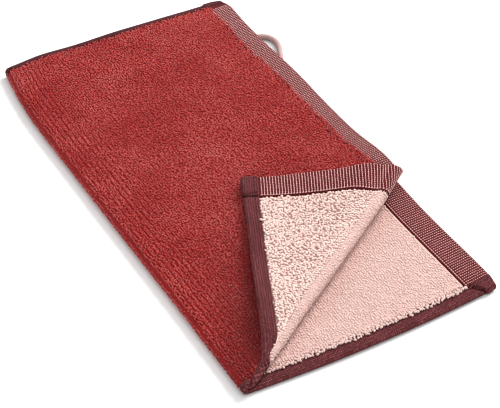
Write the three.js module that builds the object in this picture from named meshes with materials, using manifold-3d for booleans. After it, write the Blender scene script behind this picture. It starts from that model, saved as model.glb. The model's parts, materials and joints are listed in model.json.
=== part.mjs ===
// Golf towel: a square double-faced terry towel, folded in half along one edge
// line, with one free corner of the upper half turned back over it.
//
// Frame: millimetres, +Z up. X runs across the folded towel, from the fold to
// the two open end hems. Y runs along the fold, from the near side hem to the
// far one. The origin is the centre of the folded towel's footprint, on the
// surface that it lies on.
//
// The cloth is drawn with the fold's inner apex at x = 0, then centred.

import * as THREE from 'three';
import { mergeVertices } from 'three/addons/utils/BufferGeometryUtils.js';
import Module from 'manifold-3d';

// ---- driving dimensions (mm) ------------------------------------------------
const TOWEL_LENGTH = 300;        // along the fold, hem edge to hem edge
const HALF_WIDTH = 150;          // fold apex to the open edge
const CLOTH_THICKNESS = 3.0;     // one layer, pile on both faces
const LAYER_GAP = 0.4;           // between two layers that lie on each other
const JOIN_GAP = 0.3;            // between neighbouring pieces of one cloth
const HEM_THICKNESS = 2.4;       // folded, flat-woven hem
const SIDE_HEM_WIDTH = 8.6;      // plain hem, near and far edges
const END_HEM_WIDTH = 16.2;      // patterned flat-woven hem, open edges
const STITCH_SETBACK = 2.6;      // stitch row's middle, from the hem's inner edge
const STITCH_WIDTH = 0.7;        // one row of sewing thread
const STITCH_DEPTH = 0.5;
const GROOVE_WIDTH = STITCH_WIDTH + 2 * JOIN_GAP;
const GROOVE_DEPTH = STITCH_DEPTH + JOIN_GAP;
const CREASE_START_X = 1.5;      // corner crease leaves the near edge here
const CREASE_END_Y = 89.5;         // and meets the open edge here
const CREASE_RADIUS = 4.2;       // outside of the cloth going round the crease
const CORD_DIAMETER = 3.4;       // hanging loop
const LOOP_ROUTE = [             // cord's centre, x past the open edge and y
  [1.0, 258.4], [5.2, 257.0], [8.3, 253.6], [9.6, 248.0],
  [8.6, 242.5], [6.6, 238.0], [4.0, 232.4], [2.0, 228.6]];
const TACK_LENGTH = 34;          // bar tack over the cord's two ends
const TACK_WIDTH = 1.6;
const TACK_DEPTH = 0.5;

// ---- derived levels ---------------------------------------------------------
const LOWER_Z = 0;
const UPPER_Z = LOWER_Z + CLOTH_THICKNESS + LAYER_GAP;
const FOLD_AXIS_Z = LOWER_Z + CLOTH_THICKNESS + LAYER_GAP / 2;
const CREASE_AXIS_Z = UPPER_Z + CREASE_RADIUS;
const ROLL_RADIUS = CLOTH_THICKNESS + LAYER_GAP / 2;
const HEM_INSET = (CLOTH_THICKNESS - HEM_THICKNESS) / 2;
const HEM_ROLL_RADIUS = ROLL_RADIUS - HEM_INSET;
const TERRY_X = HALF_WIDTH - END_HEM_WIDTH - JOIN_GAP;
const TERRY_Y0 = SIDE_HEM_WIDTH + JOIN_GAP;
const TERRY_Y1 = TOWEL_LENGTH - TERRY_Y0;
const CREASE_DIR = new THREE.Vector2(HALF_WIDTH - CREASE_START_X, CREASE_END_Y).normalize();
const CREASE_ANGLE = Math.atan2(CREASE_DIR.y, CREASE_DIR.x);

// ---- materials --------------------------------------------------------------
const RED = 0xa23a38, PINK = 0xe4c4bd, MAROON = 0x6d3637, DOTTED = 0x92595a;
const THREAD = 0xb98a8a, CORD = 0xd3b9b5;
const cloth = (color, roughness) =>
  new THREE.MeshStandardMaterial({ color, roughness, metalness: 0 });

// ---- solid helpers ----------------------------------------------------------
const wasm = await Module();
wasm.setup();

function toSolid(geometry) {
  const plain = geometry.clone();
  plain.deleteAttribute('normal');
  plain.deleteAttribute('uv');
  const merged = mergeVertices(plain, 1e-5);
  return new wasm.Manifold(new wasm.Mesh({
    numProp: 3,
    vertProperties: new Float32Array(merged.attributes.position.array),
    triVerts: new Uint32Array(merged.index.array),
  }));
}

function toGeometry(solid) {
  const mesh = solid.getMesh();
  const position = new Float32Array(mesh.numVert * 3);
  for (let i = 0; i < mesh.numVert; i++) {
    for (let k = 0; k < 3; k++) position[i * 3 + k] = mesh.vertProperties[i * mesh.numProp + k];
  }
  const geometry = new THREE.BufferGeometry();
  geometry.setAttribute('position', new THREE.BufferAttribute(position, 3));
  geometry.setIndex(new THREE.BufferAttribute(new Uint32Array(mesh.triVerts), 1));
  geometry.computeVertexNormals();
  return geometry;
}

// A big block on one side of the vertical plane through the crease line,
// moved off the line by `offset`. side = +1 keeps what lies towards the fold
// and the far end, -1 keeps the corner.
function creaseBlock(side, offset) {
  const size = 900;
  const block = new THREE.BoxGeometry(size, size, 60);
  block.translate(0, side * (size / 2 + offset), 0);
  block.rotateZ(CREASE_ANGLE);
  block.translate(CREASE_START_X, 0, 0);
  return toSolid(block);
}

function box(x0, x1, y0, y1, z0, z1) {
  const g = new THREE.BoxGeometry(x1 - x0, y1 - y0, z1 - z0);
  g.translate((x0 + x1) / 2, (y0 + y1) / 2, (z0 + z1) / 2);
  return g;
}

const bodySide = (g) => toGeometry(toSolid(g).intersect(creaseBlock(1, JOIN_GAP)));
const cornerSide = (g) => toGeometry(toSolid(g).intersect(creaseBlock(-1, JOIN_GAP)));

// ---- profiles ---------------------------------------------------------------
// A hem's section: `w` across, from its inner edge at 0 to its rounded outer
// edge, with a groove for the stitch row in the face named by `face`.
function hemProfile(w, face) {
  const h = HEM_THICKNESS, r = h / 2;
  const a = STITCH_SETBACK - GROOVE_WIDTH / 2, b = STITCH_SETBACK + GROOVE_WIDTH / 2;
  const s = new THREE.Shape();
  s.moveTo(0, 0);
  if (face === 'bottom') {
    s.lineTo(a, 0); s.lineTo(a, GROOVE_DEPTH); s.lineTo(b, GROOVE_DEPTH); s.lineTo(b, 0);
  }
  s.lineTo(w - r, 0);
  s.absarc(w - r, r, r, -Math.PI / 2, Math.PI / 2, false);
  if (face === 'top') {
    s.lineTo(b, h); s.lineTo(b, h - GROOVE_DEPTH); s.lineTo(a, h - GROOVE_DEPTH); s.lineTo(a, h);
  }
  s.lineTo(0, h);
  s.closePath();
  return s;
}

function stitchProfile(face) {
  const s = new THREE.Shape();
  const z0 = face === 'top' ? HEM_THICKNESS - STITCH_DEPTH : 0;
  const z1 = z0 + STITCH_DEPTH;
  s.moveTo(STITCH_SETBACK - STITCH_WIDTH / 2, z0);
  s.lineTo(STITCH_SETBACK + STITCH_WIDTH / 2, z0);
  s.lineTo(STITCH_SETBACK + STITCH_WIDTH / 2, z1);
  s.lineTo(STITCH_SETBACK - STITCH_WIDTH / 2, z1);
  s.closePath();
  return s;
}

// Half ring that carries a layer round a fold: outer radius `r`, and an inner
// slot as wide as the cloth leaves. It bulges towards -u.
function rollProfile(r, thickness) {
  const inner = r - thickness;
  const s = new THREE.Shape();
  s.moveTo(0, -r);
  s.lineTo(0, -inner);
  s.absarc(0, 0, inner, -Math.PI / 2, -3 * Math.PI / 2, true);
  s.lineTo(0, r);
  s.absarc(0, 0, r, Math.PI / 2, 3 * Math.PI / 2, false);
  s.closePath();
  return s;
}

const extrude = (shape, depth) =>
  new THREE.ExtrudeGeometry(shape, { depth, bevelEnabled: false, steps: 1, curveSegments: 8 });

// Section across +X, run along Y from y0 to y1.
function alongY(shape, y0, y1, x0, z0) {
  const g = extrude(shape, y1 - y0);
  g.rotateX(Math.PI / 2);               // section height to +Z, length to -Y
  g.translate(x0, y1, z0);
  return g;
}

// Section across `out` (+1 far edge, -1 near edge) in Y, run along X.
function alongX(shape, x0, x1, yInner, out, z0) {
  const g = extrude(shape, x1 - x0);
  g.rotateX(Math.PI / 2);
  if (out > 0) {
    g.rotateZ(Math.PI / 2);             // across +Y, length to +X
    g.translate(x0, yInner, z0);
  } else {
    g.rotateZ(-Math.PI / 2);            // across -Y, length to -X
    g.translate(x1, yInner, z0);
  }
  return g;
}

// ---- assembly ---------------------------------------------------------------
const towel = new THREE.Group();
const centred = new THREE.Group();
centred.position.set(-(HALF_WIDTH - ROLL_RADIUS) / 2, -TOWEL_LENGTH / 2, 0);
towel.add(centred);

const lowerHalf = new THREE.Group();
const upperHalf = new THREE.Group();
centred.add(lowerHalf, upperHalf);

// The corner is drawn flat, in the upper half's own plane, and turned over
// about the crease line.
const creasePivot = new THREE.Group();
creasePivot.position.set(CREASE_START_X, 0, CREASE_AXIS_Z);
creasePivot.rotation.z = CREASE_ANGLE;
const cornerTurn = new THREE.Group();
cornerTurn.rotation.x = -Math.PI;
const cornerFlat = new THREE.Group();
cornerFlat.rotation.z = -CREASE_ANGLE;
const cornerFlap = new THREE.Group();
cornerFlap.position.set(-CREASE_START_X, 0, -CREASE_AXIS_Z);
creasePivot.add(cornerTurn);
cornerTurn.add(cornerFlat);
cornerFlat.add(cornerFlap);
upperHalf.add(creasePivot);

function piece(parent, name, geometry, material) {
  const mesh = new THREE.Mesh(geometry, material);
  mesh.name = name;
  parent.add(mesh);
  return mesh;
}

// Lower half: lies on the surface, pale face up, stitch rows on its upper face.
const X0 = JOIN_GAP, X1 = HALF_WIDTH;
const lowHemZ = LOWER_Z + HEM_INSET, upHemZ = UPPER_Z + HEM_INSET;
piece(lowerHalf, 'terry_lower',
  box(X0, TERRY_X, TERRY_Y0, TERRY_Y1, LOWER_Z, LOWER_Z + CLOTH_THICKNESS), cloth(PINK, 0.96));
piece(lowerHalf, 'end_hem_lower',
  alongY(hemProfile(END_HEM_WIDTH, 'top'), TERRY_Y0, TERRY_Y1, HALF_WIDTH - END_HEM_WIDTH, lowHemZ), cloth(DOTTED, 0.85));
piece(lowerHalf, 'side_hem_near_lower',
  alongX(hemProfile(SIDE_HEM_WIDTH, 'top'), X0, X1, SIDE_HEM_WIDTH, -1, lowHemZ), cloth(MAROON, 0.8));
piece(lowerHalf, 'side_hem_far_lower',
  alongX(hemProfile(SIDE_HEM_WIDTH, 'top'), X0, X1, TOWEL_LENGTH - SIDE_HEM_WIDTH, 1, lowHemZ), cloth(MAROON, 0.8));
piece(lowerHalf, 'stitching_end_lower',
  alongY(stitchProfile('top'), TERRY_Y0 + JOIN_GAP, TERRY_Y1 - JOIN_GAP, HALF_WIDTH - END_HEM_WIDTH, lowHemZ), cloth(THREAD, 0.7));
piece(lowerHalf, 'stitching_near_lower',
  alongX(stitchProfile('top'), X0 + JOIN_GAP, X1 - HEM_THICKNESS, SIDE_HEM_WIDTH, -1, lowHemZ), cloth(MAROON, 0.7));
piece(lowerHalf, 'stitching_far_lower',
  alongX(stitchProfile('top'), X0 + JOIN_GAP, X1 - HEM_THICKNESS, TOWEL_LENGTH - SIDE_HEM_WIDTH, 1, lowHemZ), cloth(MAROON, 0.7));

// Bar tack that holds the cord's two ends in the lower end hem.
const tackY = (LOOP_ROUTE[0][1] + LOOP_ROUTE[LOOP_ROUTE.length - 1][1]) / 2;
piece(lowerHalf, 'loop_bar_tack',
  box(HALF_WIDTH - 6.5 - TACK_WIDTH / 2, HALF_WIDTH - 6.5 + TACK_WIDTH / 2,
    tackY - TACK_LENGTH / 2, tackY + TACK_LENGTH / 2,
    lowHemZ + HEM_THICKNESS + JOIN_GAP, lowHemZ + HEM_THICKNESS + JOIN_GAP + TACK_DEPTH), cloth(MAROON, 0.7));

// Hanging loop: a cord that leaves the end hem, turns and goes back into it.
const loopPath = new THREE.CatmullRomCurve3(
  LOOP_ROUTE.map(([x, y]) => new THREE.Vector3(HALF_WIDTH + x, y, CORD_DIAMETER / 2)));
const section = new THREE.Shape();
for (let i = 0; i < 8; i++) {
  const a = (i / 8) * 2 * Math.PI + Math.PI / 8;
  const r = CORD_DIAMETER / 2;
  if (i === 0) section.moveTo(r * Math.cos(a), r * Math.sin(a));
  else section.lineTo(r * Math.cos(a), r * Math.sin(a));
}
section.closePath();
const loopGroup = new THREE.Group();
loopGroup.position.set(0, 0, 0.05);
lowerHalf.add(loopGroup);
piece(loopGroup, 'hanging_loop_cord',
  new THREE.ExtrudeGeometry(section, { steps: 20, bevelEnabled: false, extrudePath: loopPath }), cloth(CORD, 0.8));

// Fold rolls: the cloth and the two side hems going round the half fold.
piece(lowerHalf, 'fold_terry',
  alongY(rollProfile(ROLL_RADIUS, CLOTH_THICKNESS), TERRY_Y0, TERRY_Y1, 0, FOLD_AXIS_Z), cloth(RED, 0.96));
piece(lowerHalf, 'fold_side_hem_near',
  alongY(rollProfile(HEM_ROLL_RADIUS, HEM_THICKNESS), 0, SIDE_HEM_WIDTH, 0, FOLD_AXIS_Z), cloth(MAROON, 0.8));
piece(lowerHalf, 'fold_side_hem_far',
  alongY(rollProfile(HEM_ROLL_RADIUS, HEM_THICKNESS), TOWEL_LENGTH - SIDE_HEM_WIDTH, TOWEL_LENGTH, 0, FOLD_AXIS_Z), cloth(MAROON, 0.8));

// Upper half and corner: drawn as one flat layer, parted at the crease.
const upperTerry = box(X0, TERRY_X, TERRY_Y0, TERRY_Y1, UPPER_Z, UPPER_Z + CLOTH_THICKNESS);
const upperEndHem = alongY(hemProfile(END_HEM_WIDTH, 'bottom'), TERRY_Y0, TERRY_Y1, HALF_WIDTH - END_HEM_WIDTH, upHemZ);
const upperNearHem = alongX(hemProfile(SIDE_HEM_WIDTH, 'bottom'), X0, X1, SIDE_HEM_WIDTH, -1, upHemZ);
const upperFarHem = alongX(hemProfile(SIDE_HEM_WIDTH, 'bottom'), X0, X1, TOWEL_LENGTH - SIDE_HEM_WIDTH, 1, upHemZ);
const upperEndStitch = alongY(stitchProfile('bottom'), TERRY_Y0 + JOIN_GAP, TERRY_Y1 - JOIN_GAP, HALF_WIDTH - END_HEM_WIDTH, upHemZ);
const upperNearStitch = alongX(stitchProfile('bottom'), X0 + JOIN_GAP, X1 - HEM_THICKNESS, SIDE_HEM_WIDTH, -1, upHemZ);
const upperFarStitch = alongX(stitchProfile('bottom'), X0 + JOIN_GAP, X1 - HEM_THICKNESS, TOWEL_LENGTH - SIDE_HEM_WIDTH, 1, upHemZ);

piece(upperHalf, 'terry_upper', bodySide(upperTerry), cloth(RED, 0.96));
piece(upperHalf, 'end_hem_upper', bodySide(upperEndHem), cloth(DOTTED, 0.85));
piece(upperHalf, 'side_hem_near_upper', bodySide(upperNearHem), cloth(MAROON, 0.8));
piece(upperHalf, 'side_hem_far_upper', upperFarHem, cloth(MAROON, 0.8));
piece(upperHalf, 'stitching_end_upper', bodySide(upperEndStitch), cloth(THREAD, 0.7));
piece(upperHalf, 'stitching_far_upper', upperFarStitch, cloth(MAROON, 0.7));

piece(cornerFlap, 'terry_flap', cornerSide(upperTerry), cloth(PINK, 0.96));
piece(cornerFlap, 'end_hem_flap', cornerSide(upperEndHem), cloth(DOTTED, 0.85));
piece(cornerFlap, 'side_hem_flap', cornerSide(upperNearHem), cloth(MAROON, 0.8));
piece(cornerFlap, 'stitching_end_flap', cornerSide(upperEndStitch), cloth(THREAD, 0.7));
piece(cornerFlap, 'stitching_side_flap', cornerSide(upperNearStitch), cloth(MAROON, 0.7));

// Crease rolls: the same half ring along the crease, trimmed at the towel's
// edges and parted where the hems begin.
function creaseRoll(r, thickness, x0, x1, y0, y1) {
  const g = extrude(rollProfile(r, thickness), 260);
  g.translate(0, 0, -40);
  g.rotateX(Math.PI / 2);
  // section's bulge (-u) to the corner's side, length along the crease
  g.rotateZ(CREASE_ANGLE + Math.PI / 2);
  g.translate(CREASE_START_X, 0, CREASE_AXIS_Z);
  return toGeometry(toSolid(g).intersect(toSolid(box(x0, x1, y0, y1, 0, 20))));
}
piece(upperHalf, 'crease_terry',
  creaseRoll(CREASE_RADIUS, CLOTH_THICKNESS, X0, TERRY_X, TERRY_Y0, TERRY_Y1), cloth(RED, 0.96));
piece(upperHalf, 'crease_end_hem',
  creaseRoll(CREASE_RADIUS - HEM_INSET, HEM_THICKNESS, HALF_WIDTH - END_HEM_WIDTH, HALF_WIDTH, TERRY_Y0, TERRY_Y1), cloth(DOTTED, 0.85));
piece(upperHalf, 'crease_side_hem',
  creaseRoll(CREASE_RADIUS - HEM_INSET, HEM_THICKNESS, X0, HALF_WIDTH, 0, SIDE_HEM_WIDTH), cloth(MAROON, 0.8));

export default towel;
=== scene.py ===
import json
import math
import bpy
import numpy as np
from mathutils import Matrix, Vector


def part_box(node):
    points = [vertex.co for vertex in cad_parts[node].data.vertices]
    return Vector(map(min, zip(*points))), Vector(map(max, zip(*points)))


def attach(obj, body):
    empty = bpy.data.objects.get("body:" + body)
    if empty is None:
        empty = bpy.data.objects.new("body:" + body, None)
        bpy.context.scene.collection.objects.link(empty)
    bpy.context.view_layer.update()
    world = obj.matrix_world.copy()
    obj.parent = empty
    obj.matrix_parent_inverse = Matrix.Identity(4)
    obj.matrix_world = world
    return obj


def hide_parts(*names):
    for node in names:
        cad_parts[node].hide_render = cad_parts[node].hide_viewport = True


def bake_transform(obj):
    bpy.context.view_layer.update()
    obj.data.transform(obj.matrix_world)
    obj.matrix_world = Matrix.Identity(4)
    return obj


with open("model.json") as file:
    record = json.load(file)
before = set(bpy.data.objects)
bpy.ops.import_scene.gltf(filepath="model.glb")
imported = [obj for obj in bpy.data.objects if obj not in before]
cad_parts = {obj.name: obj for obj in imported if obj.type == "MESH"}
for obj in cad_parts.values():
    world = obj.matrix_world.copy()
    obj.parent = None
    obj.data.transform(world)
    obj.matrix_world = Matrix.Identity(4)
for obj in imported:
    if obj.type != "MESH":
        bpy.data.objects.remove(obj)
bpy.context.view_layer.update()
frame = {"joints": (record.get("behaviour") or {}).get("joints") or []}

# ---------------------------------------------------------------------------
# Frame: the cloth is worked out in millimetres with the half fold's inner
# apex at x = 0, the near edge at y = 0 and the floor at z = 0, then moved into
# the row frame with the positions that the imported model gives.
# ---------------------------------------------------------------------------
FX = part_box("fold_terry")[1][0] * 1000.0
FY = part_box("side_hem_near_lower")[0][1] * 1000.0
LENGTH = (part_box("side_hem_far_lower")[1][1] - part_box("side_hem_near_lower")[0][1]) * 1000.0
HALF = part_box("end_hem_lower")[1][0] * 1000.0 - FX
END_W = HALF - (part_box("end_hem_lower")[0][0] * 1000.0 - FX)
SIDE_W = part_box("side_hem_near_lower")[1][1] * 1000.0 - FY
joint = {j["name"]: j for j in frame["joints"]}
CX0 = joint["corner_fold"]["pos_m"][0] * 1000.0 - FX
CA, SA = joint["corner_fold"]["axis"][0], joint["corner_fold"]["axis"][1]
CA, SA = CA / math.hypot(CA, SA), SA / math.hypot(CA, SA)
P_END = math.hypot(HALF - CX0, (HALF - CX0) * SA / CA)

rng = np.random.default_rng(20)


def smooth(t):
    t = np.clip(t, 0.0, 1.0)
    return t * t * (3 - 2 * t)


def to_row(p):
    """mm in the cloth's frame to metres in the row frame."""
    p = np.asarray(p, float)
    return (p + np.array([FX, FY, 0.0])) / 1000.0


# ---------------------------------------------------------------------------
# The cloth's middle surface, as one map from the flat towel (u, v) to space.
# u runs across the open towel: u > 0 is the lower half, u < 0 the upper half,
# and the half fold is at u = 0. v runs along the fold. The upper half's corner
# goes round the crease and lies back on it.
# ---------------------------------------------------------------------------
ZL = 1.65                        # middle of the lower layer
RF = 1.72                        # middle radius of the half fold
CF = math.pi * RF / 2            # half the cloth that goes round it
ZU = ZL + 2 * RF                 # middle of the upper layer
STACK = 3.5                      # middle to middle of two layers that touch


def waves(x, y, amp, seed):
    r = np.random.default_rng(seed)
    z = 0.0
    for _ in range(7):
        wl = r.uniform(38, 110)
        a = r.uniform(0, 2 * math.pi)
        ph = r.uniform(0, 2 * math.pi)
        z = z + np.sin(2 * math.pi * (x * math.cos(a) + y * math.sin(a)) / wl + ph)
    return amp * z / 7 ** 0.5


BOW_T = [0.0, 0.1, 0.2, 0.3, 0.4, 0.5, 0.6, 0.7, 0.8, 0.86, 0.92, 0.97, 1.0]
BOW = [0.0, 0.3, 0.5, 1.0, 1.6, 2.1, 2.6, 3.1, 3.5, 3.2, 1.9, 0.1, -0.9]
BOW_FINE = np.interp(np.linspace(0, 1, 201), BOW_T, BOW)
for _ in range(60):
    BOW_FINE[1:-1] = (BOW_FINE[:-2] + 2 * BOW_FINE[1:-1] + BOW_FINE[2:]) / 4


def edge_warp(x, y):
    """In-plane shift of both halves: the fold and the edges aren't ruler straight."""
    t = np.clip(y / LENGTH, 0, 1)
    k = np.clip(x / HALF, 0, 1)
    dx = -np.interp(t, np.linspace(0, 1, 201), BOW_FINE) * (1 - k)
    dx = dx + 0.5 * np.sin(2 * math.pi * y / 97 + 0.6) * k ** 3
    far = smooth((y - 190) / 100)
    near = 1 - smooth(y / 90)
    dy = far * (1.7 * np.exp(-((x - 38) / 34) ** 2) - 1.2 * np.exp(-(x / 12) ** 2))
    dy = dy - near * 2.9 * np.sin(math.pi * np.clip(x / 146, 0, 1)) ** 0.9
    # the corners are soft
    for cy, q in ((0.0, 1.3), (LENGTH, 1.9)):
        g = np.exp(-(((x - HALF) ** 2 + (y - cy) ** 2) / 36.0))
        dx = dx - q * g
        dy = dy + q * g * (1 if cy == 0 else -1)
    return dx, dy


def roll_radius(p):
    return 0.65 + 2.5 * smooth(p / 70.0) + 2.3 * smooth((p - 144) / 34.0)


def lower_z(x, y):
    """The lower layer rests on the surface, so it only lifts."""
    near = 1 - smooth(y / 26)
    right = smooth((x - 128) / 22)
    w = waves(x, y, 0.16, 3) + 0.2
    return ZL + np.maximum(w, 0.0) * (0.35 + 0.65 * np.maximum(near, right))


def body_z(x, y):
    w = waves(x, y, 0.5, 11)
    edge = smooth(x / 30)
    z = ZU + 0.15 + (w + 1.0 - 0.75 * smooth((y - 235) / 60)) * edge
    # the open edge doesn't lie quite flat
    return z + 1.0 * smooth((x - 110) / 40) * (0.7 + 0.5 * np.sin(y / 23.0 + 0.8)) * smooth((LENGTH - y) / 14)


def crease_lift(p, s):
    """The upper layer rises towards the crease, most near the open edge."""
    a = smooth((p - 60) / 105)
    q = np.maximum(s - 5.0, 0.0) / 20.0
    return 0.2 + a * (0.9 * np.exp(-q ** 2) + 1.5 * q ** 2 * np.exp(1 - q ** 2))


def to_crease(x, y):
    dx = x - CX0
    return dx * CA + y * SA, -dx * SA + y * CA


def from_crease(p, s):
    return CX0 + p * CA - s * SA, p * SA + s * CA


def x_at(s_of, v):
    """x on row v where the crease distance s equals s_of(p)."""
    x = np.full_like(np.asarray(v, float), CX0)
    for _ in range(30):
        p = (x - CX0) * CA + v * SA
        x = 0.5 * x + 0.5 * (CX0 + (v * CA - s_of(p)) / SA)
    return x


def s_roll(p):
    return math.pi * roll_radius(p) / 2


def upper_point(x, y):
    p, s = to_crease(x, y)
    r = roll_radius(p)
    sc = math.pi * r / 2
    phi = np.clip((sc - s) / r, 0.0, math.pi)
    body = s >= sc
    flap = s <= -sc
    spos = np.where(body, s, np.where(flap, -s, sc - r * np.sin(phi)))
    X, Y = from_crease(p, spos)
    zb = body_z(X, Y) + crease_lift(p, spos)
    X0, Y0 = from_crease(p, sc)
    z0 = body_z(X0, Y0) + crease_lift(p, sc)
    d = np.maximum(spos - sc, 0.0)
    g = np.exp(-(d / 15.0) ** 2)
    zf = body_z(X, Y) + 0.2 + STACK + (2 * r - STACK + z0 - body_z(X0, Y0) - 0.2) * g
    # the turned-back corner springs up towards the crease, its end hem most
    w_end = HALF - x
    w_side = y
    off = (1 - np.exp(-(d / 9.0) ** 2)) * np.exp(-(d / 60.0) ** 2)
    zf = zf + off * (4.6 * smooth((p - 70) / 80) + 3.9 * (1 - smooth(w_end / 24)) * smooth((p - 90) / 50))
    # its side hem curls up a little near the foot
    foot = np.exp(-((x - 46) / 34.0) ** 2) * smooth(d / 10.0)
    zf = zf + 3.4 * foot * (1 - smooth(w_side / 16))
    zf = zf + 2.8 * smooth((w_end - 6) / 50.0) * smooth(p / 22.0) * (1 - smooth((w_side - 2) / 22.0)) * smooth(d / 9.0)
    Z = np.where(body, zb, np.where(flap, zf, z0 + r * (1 - np.cos(phi))))
    # the side hem bellies in towards its foot
    bx = np.interp(x, [0, 4, 9, 16, 26, 38, 52, 78, 104, 126, 150], [0, 2.2, 4.4, 5.6, 5.9, 5.3, 4.2, 2.9, 1.7, 0.5, 0.0])
    bx = bx * smooth(d / 5.0) * (1 - 0.22 * smooth((w_side - 2) / 6) - smooth((w_side - 10) / 70) * 0.6)
    X = X + np.where(flap, bx, 0.0)
    # the crease's open end bulges out past the lower layer
    bulge = np.exp(-((Y - 92) / 34.0) ** 2) * smooth((X - 108) / 42)
    X = X + 2.2 * bulge
    Y = Y + 2.0 * bulge * smooth((130 - Y) / 50)
    return X, Y, Z, spos


def mid(u, v):
    u = np.asarray(u, float)
    v = np.asarray(v, float)
    low = u >= CF
    up = u <= -CF
    xl = np.where(low, u - CF, 0.0)
    zl = lower_z(xl, v)
    xu = np.where(up, -u - CF, 0.0)
    Xu, Yu, Zu, _ = upper_point(xu, v)
    # half fold
    phi = np.clip((CF - u) / RF, 0.0, math.pi)
    z0, z1 = lower_z(0 * v, v), body_z(0 * v, v)
    rz = (z1 - z0) / 2
    xr = -RF * np.sin(phi) * 1.0
    zr = (z0 + z1) / 2 - rz * np.cos(phi)
    X = np.where(low, xl, np.where(up, Xu, xr))
    Y = np.where(low, v, np.where(up, Yu, v))
    Z = np.where(low, zl, np.where(up, Zu, zr))
    dx, dy = edge_warp(np.clip(X, 0, HALF), Y)
    return np.stack([X + dx, Y + dy, Z], -1)


def frame_at(u, v):
    """Middle point, unit tangents along u and v, and the normal out of face A."""
    e = 0.04
    p = mid(u, v)
    pu = mid(u + e, v) - mid(u - e, v)
    pv = mid(u, v + e) - mid(u, v - e)
    pu /= np.linalg.norm(pu, axis=-1, keepdims=True)
    pv /= np.linalg.norm(pv, axis=-1, keepdims=True)
    n = np.cross(pv, pu)
    n /= np.linalg.norm(n, axis=-1, keepdims=True)
    return p, pu, pv, n


def surf(u, v, h):
    p, _, _, n = frame_at(u, v)
    return p + n * np.asarray(h, float)[..., None]


def u_low(x):
    return np.asarray(x, float) + CF


def u_up(x):
    return -np.asarray(x, float) - CF


# ---------------------------------------------------------------------------
# Mesh helpers
# ---------------------------------------------------------------------------
def new_mesh(name, verts, faces, uv=None, yarn=None, bake=None, mat=None, smooth_shade=True):
    """verts in mm in the cloth's frame; faces an (n, 4) or (n, 3) array, or a
    list of arrays. uv, yarn and bake give two numbers a corner."""
    if isinstance(faces, np.ndarray):
        faces = [faces]
    me = bpy.data.meshes.new(name)
    co = to_row(verts).astype(np.float32)
    loops = np.concatenate([f.ravel() for f in faces]).astype(np.int32)
    sizes = np.concatenate([np.full(len(f), f.shape[1]) for f in faces]).astype(np.int32)
    starts = np.concatenate([[0], np.cumsum(sizes)[:-1]]).astype(np.int32)
    me.vertices.add(len(co))
    me.vertices.foreach_set("co", co.ravel())
    me.loops.add(len(loops))
    me.loops.foreach_set("vertex_index", loops)
    me.polygons.add(len(sizes))
    me.polygons.foreach_set("loop_start", starts)
    me.polygons.foreach_set("loop_total", sizes)
    me.update(calc_edges=True)
    for label, data in (("cloth", uv), ("yarn", yarn), ("OFBake", bake)):
        if data is None:
            continue
        layer = me.uv_layers.new(name=label)
        layer.data.foreach_set("uv", np.asarray(data, np.float32).ravel())
    me.polygons.foreach_set("use_smooth", np.full(len(sizes), smooth_shade))
    if mat is not None:
        me.materials.append(mat)
    me.validate(verbose=False)
    me.update()
    ob = bpy.data.objects.new(name, me)
    bpy.context.scene.collection.objects.link(ob)
    return ob


def per_corner(faces, per_vertex):
    if isinstance(faces, np.ndarray):
        faces = [faces]
    idx = np.concatenate([f.ravel() for f in faces])
    return np.asarray(per_vertex)[idx]


def grid_faces(ni, nj, off=0, flip=False):
    i, j = np.meshgrid(np.arange(ni - 1), np.arange(nj - 1), indexing="ij")
    a = (i * nj + j).ravel() + off
    f = np.stack([a, a + nj, a + nj + 1, a + 1], 1)
    return f[:, ::-1] if flip else f


BASE_H = 0.42
DEEP = 0.42


def ground_h(u, v, face):
    """Half thickness of the ground with the loops' tangled feet: full under the
    pile, thin under the hems and inside the crease."""
    w_end = HALF + CF - np.abs(u)
    w_side = np.minimum(v, LENGTH - v)
    if face > 0:
        p, s = to_crease(-u - CF, v)
        k = smooth((w_end - 12.8) / 2.5) * smooth((w_side - 4.5) / 1.5)
        k = k * np.where(u < 0, smooth((np.abs(s) - s_roll(p) - 0.5) / 3.0), 1.0)
    else:
        p, s = to_crease(-u - CF, v)
        k = smooth((w_end - END_W - 1.2) / 1.2) * smooth((w_side - SIDE_W - 0.2) / 1.2)
        flat = smooth((s_roll(p) + 2.0 - s) / 2.0) * (1 - smooth((-s - s_roll(p) - 2.0) / 7.0))
        k = k * (1 + 0.85 * np.where(u < 0, flat, 0.85))
    return BASE_H + DEEP * k


def slab(name, U, V, mat_a, mat_b):
    """Closed slab over the flat grid (U, V), as thick as the ground."""
    ni, nj = U.shape
    top = surf(U, V, ground_h(U, V, 1)).reshape(-1, 3)
    bot = surf(U, V, -ground_h(U, V, -1)).reshape(-1, 3)
    n = ni * nj
    verts = np.concatenate([top, bot])
    # a face's outward side is found from the map's own handedness below
    ft = grid_faces(ni, nj)
    fb = grid_faces(ni, nj, off=n, flip=True)
    ring = np.concatenate([
        np.arange(nj),
        np.arange(1, ni) * nj + nj - 1,
        (ni - 1) * nj + np.arange(nj - 2, -1, -1),
        np.arange(ni - 2, 0, -1) * nj,
    ])
    nxt = np.roll(ring, -1)
    side = np.stack([ring, nxt, nxt + n, ring + n], 1)
    faces = np.concatenate([ft, fb, side])
    faces = outward(verts, faces)
    flat = np.stack([U.ravel(), V.ravel()], 1) / 10.0
    flat = np.concatenate([flat, flat])
    uv = per_corner(faces, flat)
    ob = new_mesh(name, verts, faces, uv=uv, mat=mat_a)
    ob.data.materials.append(mat_b)
    idx = np.zeros(len(faces), np.int32)
    idx[len(ft):len(ft) + len(fb)] = 1
    ob.data.polygons.foreach_set("material_index", idx)
    ob.data.update()
    return ob


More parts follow.
